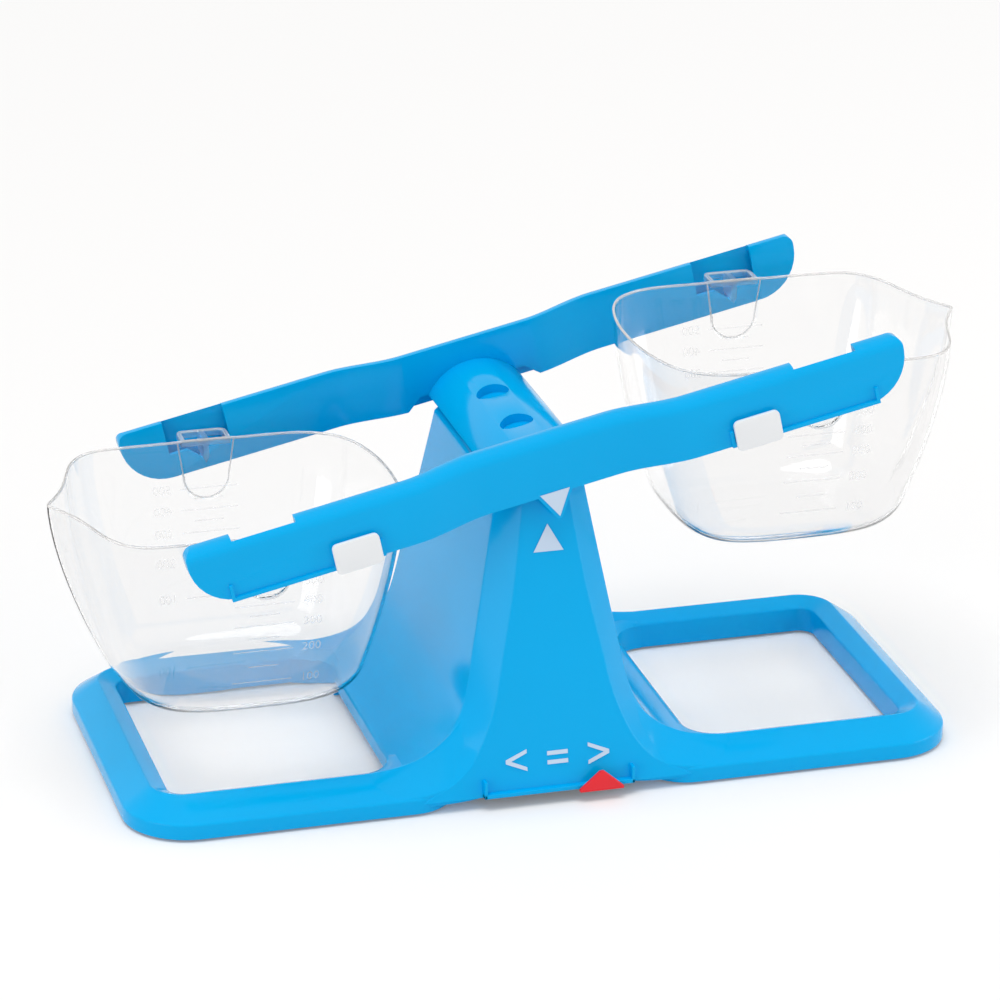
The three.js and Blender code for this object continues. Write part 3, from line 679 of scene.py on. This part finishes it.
class BALANCE_OT_base(bpy.types.Operator):
    """Loops and tower of the base, with the marker's rail"""
    bl_idname = "balance.base"
    bl_label = "Base"

    def execute(self, context):
        loop = context.scene.balance_base
        tower = context.scene.balance_tower
        bm = bmesh.new()
        for side in (-1, 1):
            outlines = [loop_outline(loop, side, p.x, p.y) for p in loop_section(loop)]
            loft(bm, outlines, wrap=True)
            for end in (-1, 1):
                add_cove(bm, loop, side, end)
                add_root(bm, loop, tower, side, end)
        top = TOWER_HIGH.z
        inside = reversed(tower_heights(tower.low, top - tower.wall))
        outlines = [tower_outline(tower, z, tower.wall, z) for z in inside]
        outlines += [tower_outline(tower, z, 0, z) for z in tower_heights(tower.low, top - tower.soft)]
        for k in range(1, TOP_ARC + 1):
            angle = k / TOP_ARC * math.pi / 2
            drop = tower.soft * (1 - math.sin(angle))
            outlines.append(tower_outline(tower, top, tower.soft * (1 - math.cos(angle)), top - drop))
        loft(bm, outlines, wrap=False)
        self.rail(bm, tower)
        nodes = ("tower", "loop_left", "loop_right")
        finish_piece(bm, "base_moulding", "blue_moulding", "base", nodes, CREASE)
        return {"FINISHED"}

    def rail(self, bm, tower):
        """Ledge for the marker, with a stop at each end."""
        front = -panel_place(tower, tower.low)
        edge = front - tower.rail_out
        half = tower.rail_half
        low = tower.low
        soft_box(bm, MIDDLE + Vector((-half, edge, low)),
                 MIDDLE + Vector((half, front + tower.wall, low + tower.rail_height)), RAIL_EDGE)
        for side in (-1, 1):
            near, far = sorted((side * half, side * (half - tower.stop_width)))
            soft_box(bm, MIDDLE + Vector((near, edge, low)),
                     MIDDLE + Vector((far, front + tower.wall, low + tower.stop_height)), RAIL_EDGE)


class BALANCE_OT_feet(bpy.types.Operator):
    """Rubber feet under the base"""
    bl_idname = "balance.feet"
    bl_label = "Feet"

    def execute(self, context):
        for end in ("front", "back"):
            for side in ("left", "right"):
                node = f"foot_{end}_{side}"
                bm = softened(node, FOOT_EDGE)
                finish_piece(bm, f"{node}_pad", "rubber_pad", "base", (node,), CREASE)
        return {"FINISHED"}


class BALANCE_OT_bearings(bpy.types.Operator):
    """Bearing posts and axle inside the hub"""
    bl_idname = "balance.bearings"
    bl_label = "Bearings"

    def execute(self, context):
        for node in ("bearing_front", "bearing_back"):
            bm = softened(node, BEARING_EDGE)
            finish_piece(bm, f"{node}_post", "grey_moulding", "base", (node,), CREASE)
        bm = softened("axle", BEARING_EDGE)
        finish_piece(bm, "axle_pin", "bright_steel", "beam", ("axle",), CREASE)
        return {"FINISHED"}


class BALANCE_OT_signs(bpy.types.Operator):
    """Printed signs on the tower and the pointer"""
    bl_idname = "balance.signs"
    bl_label = "Signs"

    def execute(self, context):
        material = moulded("printed_ink")
        for name, node in frame["nodes"].items():
            if name.startswith("print_"):
                node.data.materials.clear()
                node.data.materials.append(material)
        return {"FINISHED"}


class BALANCE_OT_marker(bpy.types.Operator):
    """Red marker on its rail"""
    bl_idname = "balance.marker"
    bl_label = "Marker"

    def execute(self, context):
        bm = softened("marker", MARKER_EDGE)
        finish_piece(bm, "marker_slide", "red_moulding", "marker", ("marker",), CREASE)
        return {"FINISHED"}


class BALANCE_OT_beam(bpy.types.Operator):
    """Arms and hub of the beam"""
    bl_idname = "balance.beam"
    bl_label = "Beam"

    def execute(self, context):
        for node in ("arm_front", "arm_back", "hub"):
            bm = softened(node, BEAM_EDGE)
            name = f"{node}_moulding"
            finish_piece(bm, name, "blue_moulding", "beam", (node,), BEAM_CREASE)
        return {"FINISHED"}


class BALANCE_OT_sliders(bpy.types.Operator):
    """White sliders on the front arm"""
    bl_idname = "balance.sliders"
    bl_label = "Sliders"

    def execute(self, context):
        for node in ("slider_left", "slider_right"):
            bm = softened(node, SLIDER_EDGE)
            finish_piece(bm, f"{node}_cap", "white_moulding", node, (node,), CREASE)
        return {"FINISHED"}


# Buckets

def rim_path():
    """Closed rim of a bucket about its seat, spout to +X, finest beside the lugs."""
    half = [Vector(p) * MM for p in RIM_HALF]
    mirror = [Vector((p.x, -p.y)) for p in reversed(half[1:-1])]
    spans = len(half) - 1
    counts = [LUG_STEPS if i == LUG_SPAN else SPAN_STEPS for i in range(spans)]
    return smooth_loop(half + mirror, counts + counts[::-1])


def foot_point(sizes, p):
    """Point of the bucket's foot that lies under a rim point."""
    angle = math.atan2(p.y, p.x)
    along, across = math.cos(angle), math.sin(angle)
    reach = sizes.foot_in if p.x < 0 else sizes.foot_out
    size = abs(along / reach) ** FOOT_SQUARE + abs(across / sizes.foot_half) ** FOOT_SQUARE
    return Vector((along, across)) * size ** (-1 / FOOT_SQUARE)


def wall_path(sizes, rim, depth, inset):
    """Outline of the bucket at a depth below its rim, drawn in by inset."""
    share = (max(depth, 0) / BUCKET_DEEP) ** WALL_TURN
    path = [p.lerp(foot_point(sizes, p), share) for p in rim]
    inward = []
    for i, p in enumerate(path):
        along = (path[(i + 1) % len(path)] - path[i - 1]).normalized()
        inward.append(p + Vector((along.y, -along.x)) * inset)
    return inward


def tongue_width(sizes, depth, straight):
    """Half width of the tongue under a lug at a depth above its round end."""
    return sizes.tongue_half + (sizes.tongue_end - sizes.tongue_half) * depth / straight


def tongue_share(sizes, x, depth):
    """How far a point of the wall belongs to the tongue under a lug, from 0 to 1."""
    straight = sizes.tongue_deep - sizes.tongue_end
    if depth < straight:
        inside = tongue_width(sizes, depth, straight) - abs(x)
    else:
        inside = sizes.tongue_end - math.hypot(x, depth - straight)
    return ease(inside / TONGUE_STEP + 0.5)


def bucket_outline(sizes, rim, depth, inset, height, skin):
    """One row of the bucket's wall, with the tongues pushed out to their flat face."""
    face = sizes.tongue_out - skin
    flank = sizes.foot_half * FLANK_ZONE
    reach = sizes.tongue_half * TONGUE_ZONE
    row = []
    for p in wall_path(sizes, rim, depth, inset):
        y = p.y
        if flank < abs(y) < face and abs(p.x) < reach:
            y += (math.copysign(face, y) - y) * tongue_share(sizes, p.x, depth)
        row.append(Vector((p.x, y, height)))
    return row


def bucket_rows(sizes, rim):
    """Rows of the bucket's skin: up the outside, over the rim and down the inside."""
    lip = sizes.wall / 2
    straight = BUCKET_DEEP - sizes.bend
    # Each row: depth of its outline, inset, depth at which it lies, and skin outside it
    rows = []
    for k in range(BEND_ROWS + 1):
        angle = k / BEND_ROWS * math.pi / 2
        depth = straight + sizes.bend * math.cos(angle)
        rows.append((depth, sizes.bend * (1 - math.sin(angle)), depth, 0))
    depths = [straight - (straight - sizes.tongue_deep) * k / WALL_ROWS for k in range(1, WALL_ROWS)]
    depths += [sizes.tongue_deep * TONGUE_BELOW * (1 - k / TONGUE_ROWS) for k in range(TONGUE_ROWS)]
    depths = [depth for depth in depths if depth > lip]
    rows += [(depth, 0, depth, 0) for depth in depths]
    for k in range(LIP_ARC + 1):
        angle = k / LIP_ARC * math.pi
        inset = lip * (1 - math.cos(angle))
        rows.append((0, inset, lip * (1 - math.sin(angle)), inset))
    rows += [(depth, sizes.wall, depth, sizes.wall) for depth in reversed(depths)]
    bend = sizes.bend - sizes.wall
    for k in range(BEND_ROWS, -1, -1):
        angle = k / BEND_ROWS * math.pi / 2
        depth = BUCKET_DEEP - sizes.floor - bend + bend * math.cos(angle)
        rows.append((depth, sizes.wall + bend * (1 - math.sin(angle)), depth, sizes.wall))
    return [
        bucket_outline(sizes, rim, depth, inset, RIM_UP - low, skin)
        for depth, inset, low, skin in rows
    ]


def lug_outline(sizes, side, inset, height):
    """Outline of a lug's frame, drawn in by inset."""
    root = sizes.tongue_out - sizes.lug_bar / 2 + inset / 2
    half = sizes.lug_half - inset
    tip = sizes.lug_out - inset
    wide = max(LUG_CORNER - inset, LUG_LEAST)
    corners = [(-half, root, LUG_ROOT), (half, root, LUG_ROOT), (half, tip, wide), (-half, tip, wide)]
    return [Vector((p.x, side * p.y, height)) for p in filleted(corners, LUG_ARC)]


def add_lug(bm, sizes, side):
    """Open frame and knife web that hang a bucket in an arm's notch."""
    root = sizes.tongue_out - sizes.lug_bar / 2
    bar = sizes.lug_bar
    top = RIM_UP
    low = RIM_UP - sizes.lug_height
    soft = bar / 4
    section = filleted([(0, low, soft), (0, top, soft), (bar, top, soft), (bar, low, soft)], FINE_ARC)
    loft(bm, [lug_outline(sizes, side, p.x, p.y) for p in section], wrap=True)
    half = sizes.knife / 2
    blade = ((half, top), (-half, top), (-half, KNIFE_SHOULDER), (0, KNIFE_TIP), (half, KNIFE_SHOULDER))
    outline = filleted([(*corner, KNIFE_EDGE) for corner in blade], FINE_ARC)
    ends = (root, sizes.lug_out - bar / 2)
    loft(bm, [[Vector((p.x, side * y, p.y)) for p in outline] for y in ends], wrap=False)


def add_bead(bm, path, radius, wrap):
    """Thin round bead along a path of points."""
    angles = [k / BEAD_SIDES * 2 * math.pi for k in range(BEAD_SIDES)]
    rings = []
    for i, point in enumerate(path):
        ahead = path[(i + 1) % len(path)] if wrap else path[min(i + 1, len(path) - 1)]
        behind = path[i - 1] if wrap else path[max(i - 1, 0)]
        turn = (ahead - behind).to_track_quat("Z", "Y").to_matrix()
        spokes = [turn @ Vector((math.cos(angle), math.sin(angle), 0)) for angle in angles]
        rings.append([point + spoke * radius for spoke in spokes])
    loft(bm, rings, wrap)


def tongue_edge(sizes, side):
    """Path round the edge of the tongue under a lug."""
    radius = sizes.tongue_end
    straight = sizes.tongue_deep - radius
    start = sizes.wall
    half = []
    for k in range(TONGUE_SIDE + 1):
        depth = start + (straight - start) * k / TONGUE_SIDE
        half.append((tongue_width(sizes, depth, straight), depth))
    for k in range(1, TONGUE_ARC + 1):
        angle = k / TONGUE_ARC * math.pi / 2
        half.append((radius * math.cos(angle), straight + radius * math.sin(angle)))
    outline = half + [(-x, depth) for x, depth in reversed(half[:-1])]
    return [Vector((x, side * sizes.tongue_out, RIM_UP - depth)) for x, depth in outline]


def place_bucket(bm, name):
    """Moves a bucket's mesh from its seat's frame to the seat; the left one faces the other way."""
    seat, side = SEATS[name]
    turn = Matrix.Rotation(0 if side > 0 else math.pi, 4, "Z")
    bmesh.ops.transform(bm, matrix=Matrix.Translation(seat) @ turn, verts=bm.verts)


class BALANCE_OT_buckets(bpy.types.Operator):
    """Clear buckets with their spouts, tongues and lugs"""
    bl_idname = "balance.buckets"
    bl_label = "Buckets"

    def execute(self, context):
        sizes = context.scene.balance_bucket
        add_depth(moulded("clear_moulding"), context.scene.balance_finish.depth)
        rim = rim_path()
        for name in SEATS:
            bm = bmesh.new()
            loft(bm, bucket_rows(sizes, rim), wrap=False)
            place_bucket(bm, name)
            shell = f"{name}_shell"
            finish_piece(bm, shell, "clear_moulding", name, (name,), BUCKET_CREASE)
            self.edges(sizes, name, rim)
            self.lugs(sizes, name)
        return {"FINISHED"}

    def lugs(self, sizes, name):
        """Lugs that rest in the arms' notches."""
        bm = bmesh.new()
        for side in (-1, 1):
            add_lug(bm, sizes, side)
        place_bucket(bm, name)
        finish_piece(bm, f"{name}_lugs", "frosted_mark", name, (), BUCKET_CREASE)

    def edges(self, sizes, name, rim):
        """Pale beads on the rim, the tongues and the lugs: a painted highlight in place of the glint of
        the clear plastic's edges.
        """
        bm = bmesh.new()
        lip = sizes.wall / 2
        add_bead(bm, bucket_outline(sizes, rim, 0, lip, RIM_UP - lip, lip), lip, True)
        thin = sizes.edge
        for side in (-1, 1):
            add_bead(bm, tongue_edge(sizes, side), thin, False)
            for inset in (thin, sizes.lug_bar - thin):
                add_bead(bm, lug_outline(sizes, side, inset, RIM_UP - thin), thin, True)
        place_bucket(bm, name)
        finish_piece(bm, f"{name}_edges", "painted_highlight_edge", name, (), BUCKET_CREASE)


class BALANCE_OT_scale(bpy.types.Operator):
    """Scale lines and numbers on the buckets' long walls"""
    bl_idname = "balance.scale"
    bl_label = "Bucket scale"

    def execute(self, context):
        sizes = context.scene.balance_bucket
        rim = rim_path()
        for name in SEATS:
            bm = bmesh.new()
            for i, (number, depth) in enumerate(SCALE_LINES):
                self.add_line(bm, sizes, depth * MM, sizes.line_in, sizes.line_out)
                self.add_number(bm, sizes, str(number), depth * MM)
                if i > 0:
                    between = (depth + SCALE_LINES[i - 1][1]) / 2
                    self.add_line(bm, sizes, between * MM, sizes.line_in / 2, sizes.line_out / 2)
            self.wrap_to_wall(bm, sizes, rim)
            marks = bm.verts[:] + bm.edges[:] + bm.faces[:]
            again = bmesh.ops.duplicate(bm, geom=marks)["geom"]
            far = [v for v in again if isinstance(v, bmesh.types.BMVert)]
            bmesh.ops.transform(bm, matrix=Matrix.Rotation(math.pi, 4, "Z"), verts=far)
            seat = SEATS[name][0]
            bmesh.ops.transform(bm, matrix=Matrix.Translation(seat), verts=bm.verts)
            finish_piece(bm, f"{name}_scale", "frosted_mark", name, (), CREASE)
        return {"FINISHED"}

    def add_line(self, bm, sizes, depth, start, end):
        """Flat bar across the front wall, as (along, proud, height) before it is bent."""
        place = Matrix.Translation(((start + end) / 2, 0, RIM_UP - depth))
        size = Matrix.Diagonal((end - start, MARK_THICK, sizes.line_width, 1))
        bmesh.ops.create_cube(bm, size=1, matrix=place @ size)

    def add_number(self, bm, sizes, text, depth):
        """Number beside a line, made a mesh from a text curve."""
        curve = bpy.data.curves.new("number", "FONT")
        curve.body = text
        curve.size = sizes.digit * DIGIT_SIZE
        curve.extrude = MARK_THICK / 2
        curve.align_y = "CENTER"
        letters = bpy.data.objects.new("number", curve)
        mesh = letters.to_mesh()
        stand = Matrix.Rotation(math.pi / 2, 4, "X")
        mesh.transform(Matrix.Translation((sizes.line_out + sizes.digit_gap, 0, RIM_UP - depth)) @ stand)
        bm.from_mesh(mesh)
        letters.to_mesh_clear()
        bpy.data.objects.remove(letters)
        bpy.data.curves.remove(curve)

    def wrap_to_wall(self, bm, sizes, rim):
        """Lays the flat marks on the front wall."""
        bmesh.ops.remove_doubles(bm, verts=bm.verts, dist=MICRON)
        fronts = {}
        for vert in bm.verts:
            row = round((RIM_UP - vert.co.z) / SCALE_GRID)
            if row not in fronts:
                path = wall_path(sizes, rim, row * SCALE_GRID, 0)
                fronts[row] = [p for p in path if p.y <= 0]
            near = min(fronts[row], key=lambda p: abs(p.x - vert.co.x))
            vert.co.y += near.y - MARK_PROUD


# Stage

def white_backdrop_world(stage):
    """World that looks white and lights the object less strongly."""
    world = bpy.data.worlds.new("white_room")
    world.use_nodes = True
    tree = world.node_tree
    tree.nodes.clear()
    seen = add_node(tree, "ShaderNodeBackground", Color=(1, 1, 1, 1), Strength=1.0)
    light = add_node(tree, "ShaderNodeBackground", Color=(*stage.room, 1), Strength=stage.room_power)
    mix_shown(tree, light.outputs[0], seen.outputs[0], "ShaderNodeOutputWorld")
    bpy.context.scene.world = world


def mix_shown(tree, hidden, shown, output):
    """Mixes two shaders: shown for what the camera, gloss and clear plastic see, hidden for the rest."""
    path = tree.nodes.new("ShaderNodeLightPath")
    glossy = add_node(tree, "ShaderNodeMath", operation="MAXIMUM")
    clear = add_node(tree, "ShaderNodeMath", operation="MAXIMUM")
    mix = tree.nodes.new("ShaderNodeMixShader")
    end = tree.nodes.new(output)
    link = tree.links.new
    link(path.outputs["Is Camera Ray"], glossy.inputs[0])
    link(path.outputs["Is Glossy Ray"], glossy.inputs[1])
    link(glossy.outputs[0], clear.inputs[0])
    link(path.outputs["Is Transmission Ray"], clear.inputs[1])
    link(clear.outputs[0], mix.inputs[0])
    link(hidden, mix.inputs[1])
    link(shown, mix.inputs[2])
    link(mix.outputs[0], end.inputs["Surface"])


def floor_paper(finish, strength):
    """White paper that keeps the object's soft shadow."""
    made = bpy.data.materials.new("floor_paper")
    made.use_nodes = True
    tree = made.node_tree
    tree.nodes.clear()
    plain = add_node(tree, "ShaderNodeBsdfDiffuse", Color=(*finish.floor, 1))
    catch = add_node(tree, "ShaderNodeBsdfDiffuse", Color=(*finish.shadow, 1))
    glow = add_node(tree, "ShaderNodeEmission", Color=(1, 1, 1, 1), Strength=strength)
    both = tree.nodes.new("ShaderNodeAddShader")
    tree.links.new(catch.outputs[0], both.inputs[0])
    tree.links.new(glow.outputs[0], both.inputs[1])
    mix_shown(tree, plain.outputs[0], both.outputs[0], "ShaderNodeOutputMaterial")
    return made


def lamp(name, kind, power, place, **settings):
    """Lamp at a place, pointed at the middle of the balance."""
    data = bpy.data.lights.new(name, kind)
    data.energy = power
    for key, value in settings.items():
        setattr(data, key, value)
    made = bpy.data.objects.new(name, data)
    turn = (Vector(AIM) - Vector(place)).to_track_quat("-Z", "Y")
    made.matrix_world = Matrix.Translation(place) @ turn.to_matrix().to_4x4()
    bpy.context.scene.collection.objects.link(made)
    return made


class BALANCE_OT_stage(bpy.types.Operator):
    """White floor, soft lamps and the camera"""
    bl_idname = "balance.stage"
    bl_label = "Stage"

    def execute(self, context):
        stage = context.scene.balance_stage
        bm = bmesh.new()
        bmesh.ops.create_grid(bm, x_segments=1, y_segments=1, size=FLOOR_HALF)
        mesh = bpy.data.meshes.new("floor")
        bm.to_mesh(mesh)
        bm.free()
        mesh.materials.append(floor_paper(context.scene.balance_finish, stage.floor_glow))
        floor = bpy.data.objects.new("floor", mesh)
        context.scene.collection.objects.link(floor)
        white_backdrop_world(stage)
        overhead = lamp("overhead", "SUN", **OVERHEAD)
        overhead.visible_glossy = False
        lamp("left_softbox", "AREA", **LEFT_SOFTBOX)
        lamp("right_softbox", "AREA", **RIGHT_SOFTBOX)
        context.scene.view_settings.view_transform = "Standard"
        self.camera(context, stage)
        return {"FINISHED"}

    def camera(self, context, stage):
        """Camera at the photograph's viewing angle."""
        yaw, pitch, roll = stage.yaw, stage.pitch, stage.roll
        level = Vector((math.sin(yaw), math.cos(yaw), 0))
        ahead = level * math.cos(pitch) - Vector((0, 0, math.sin(pitch)))
        right = Vector((math.cos(yaw), -math.sin(yaw), 0))
        up = right.cross(ahead)
        side = right * math.cos(roll) + up * math.sin(roll)
        top = up * math.cos(roll) - right * math.sin(roll)
        turn = Matrix((side, top, -ahead)).transposed().to_4x4()
        data = bpy.data.cameras.new("camera")
        data.lens = stage.lens
        data.sensor_width = 36
        data.clip_end = 20
        camera = bpy.data.objects.new("camera", data)
        camera.matrix_world = Matrix.Translation(stage.place) @ turn
        context.scene.collection.objects.link(camera)
        context.scene.camera = camera


# Sidebar

MAKERS = (
    BALANCE_OT_stage, BALANCE_OT_base, BALANCE_OT_feet, BALANCE_OT_bearings, BALANCE_OT_signs,
    BALANCE_OT_marker, BALANCE_OT_beam, BALANCE_OT_sliders, BALANCE_OT_buckets, BALANCE_OT_scale,
)
GROUPS = {
    "balance_base": BalanceBaseSizes,
    "balance_tower": BalanceTowerSizes,
    "balance_bucket": BalanceBucketSizes,
    "balance_finish": BalanceFinish,
    "balance_stage": BalanceStage,
}


class BALANCE_PT_panel(bpy.types.Panel):
    """Operators and sizes of the balance"""
    bl_idname = "BALANCE_PT_panel"
    bl_label = "Bucket balance"
    bl_space_type = "VIEW_3D"
    bl_region_type = "UI"
    bl_category = "Balance"

    def draw(self, context):
        for maker in MAKERS:
            self.layout.operator(maker.bl_idname)
        for key, group in GROUPS.items():
            box = self.layout.box()
            for name in group.__annotations__:
                box.prop(getattr(context.scene, key), name)


def register():
    for group in GROUPS.values():
        bpy.utils.register_class(group)
    for key, group in GROUPS.items():
        setattr(bpy.types.Scene, key, PointerProperty(type=group))
    for maker in MAKERS:
        bpy.utils.register_class(maker)
    bpy.utils.register_class(BALANCE_PT_panel)


def unregister():
    bpy.utils.unregister_class(BALANCE_PT_panel)
    for maker in reversed(MAKERS):
        bpy.utils.unregister_class(maker)
    for key in GROUPS:
        delattr(bpy.types.Scene, key)
    for group in reversed(GROUPS.values()):
        bpy.utils.unregister_class(group)


def main():
    register()
    for maker in MAKERS:
        family, name = maker.bl_idname.split(".")
        getattr(getattr(bpy.ops, family), name)()


if __name__ == "__main__":
    main()
